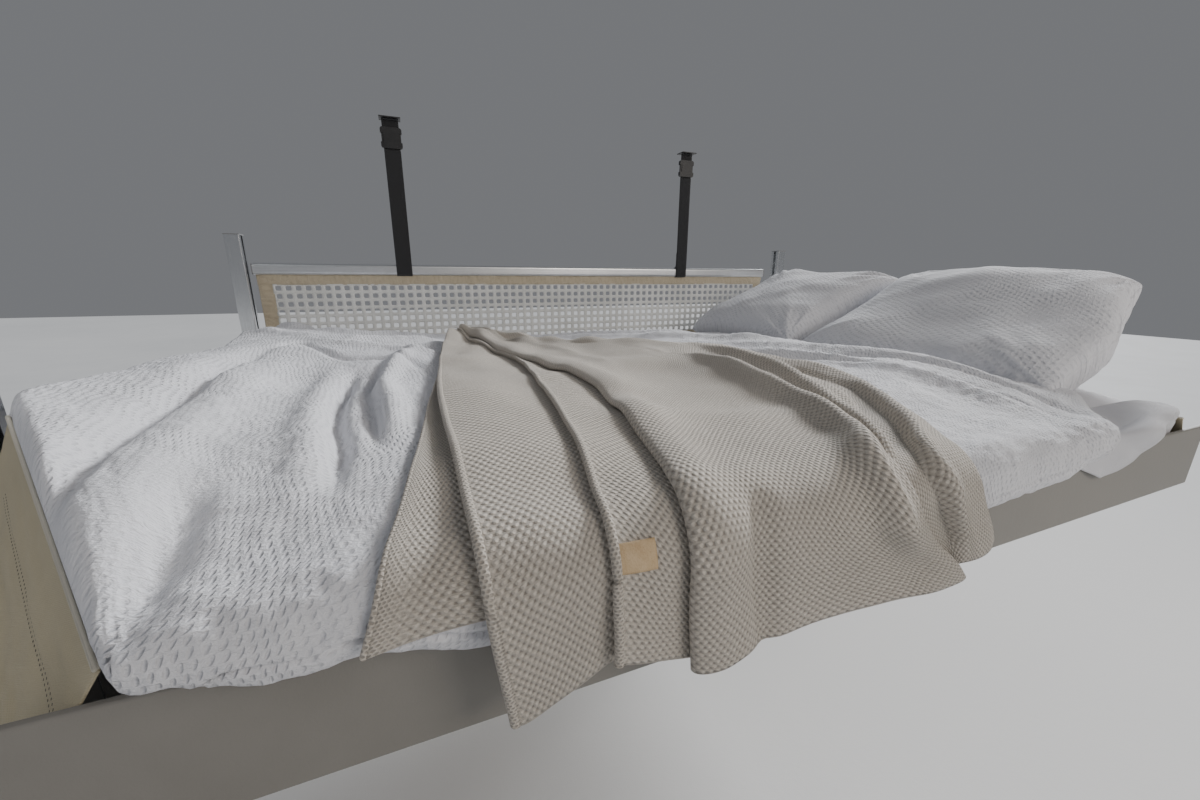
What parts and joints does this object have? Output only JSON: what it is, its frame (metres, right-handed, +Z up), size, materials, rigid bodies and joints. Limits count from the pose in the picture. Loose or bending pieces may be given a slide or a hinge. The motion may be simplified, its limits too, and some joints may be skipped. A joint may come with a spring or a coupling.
{
  "type": "motorhome drop-down bed",
  "caption": "Motorhome drop-down bed: guide rails, slatted frame with cut corners, mattress, duvet, pillows and knitted throw, and a folding net guard held by ceiling straps.",
  "frame": {"origin": "centre of the bolt pattern on the wall face of the rear left guide rail", "axes": "+X along the bed from the foot wall to the head wall, +Y away from the cab, +Z up"},
  "size_m": [2.14, 1.5223, 0.97],
  "materials": {
    "polished_aluminium": "polished",
    "satin_aluminium": "satin anodised",
    "black_plastic": "matt",
    "grey_plastic": "matt",
    "zinc_steel": "zinc plated",
    "frame_steel": "powder coated",
    "slat_wood": "clear varnish",
    "taupe_panel": "matt laminate",
    "beige_fabric": "woven",
    "white_net": "open woven mesh",
    "black_webbing": "woven webbing",
    "mattress_cover": "fine jersey",
    "white_cotton": "crinkled cotton",
    "taupe_knit": "chunky knit"
  },
  "bodies": {
    "root": {"rail_rear_left": "polished_aluminium", "rail_rear_right": "polished_aluminium", "rail_front_left": "polished_aluminium", "rail_front_right": "polished_aluminium", "rail_stops": "black_plastic", "rail_caps": "grey_plastic"},
    "bed": {"carriages": "black_plastic", "carriage_brackets": "zinc_steel", "side_tube_rear": "frame_steel", "end_tube_right": "frame_steel", "corner_tube_right": "frame_steel", "side_tube_front": "frame_steel", "corner_tube_left": "frame_steel", "end_tube_left": "frame_steel", "centre_tube": "frame_steel", "slats": "slat_wood", "slat_holders": "black_plastic", "underside_panel": "taupe_panel", "front_apron": "taupe_panel", "rear_apron": "taupe_panel", "corner_skirt_left": "beige_fabric", "corner_skirt_right": "beige_fabric", "hinge_arms": "zinc_steel", "hinge_rod": "satin_aluminium", "mattress": "mattress_cover", "duvet": "white_cotton", "throw": "taupe_knit", "pillow_far": "white_cotton", "pillow_near": "white_cotton"},
    "guard": {"net": "white_net", "net_border": "beige_fabric", "guard_rail": "satin_aluminium", "guard_rail_caps": "grey_plastic", "strap_left": "black_webbing", "strap_right": "black_webbing", "buckles": "black_plastic", "ceiling_anchors": "black_plastic"}
  },
  "joints": [
    {"name": "bed_lift", "type": "slide", "parent": "root", "child": "bed", "axis": [0, 0, 1], "range_m": [0, 0.35]},
    {"name": "guard_fold", "type": "hinge", "parent": "bed", "child": "guard", "pos_m": [1.05, 0.02, -0.075], "axis": [-1, 0, 0], "range_deg": [0, 175]}
  ]
}
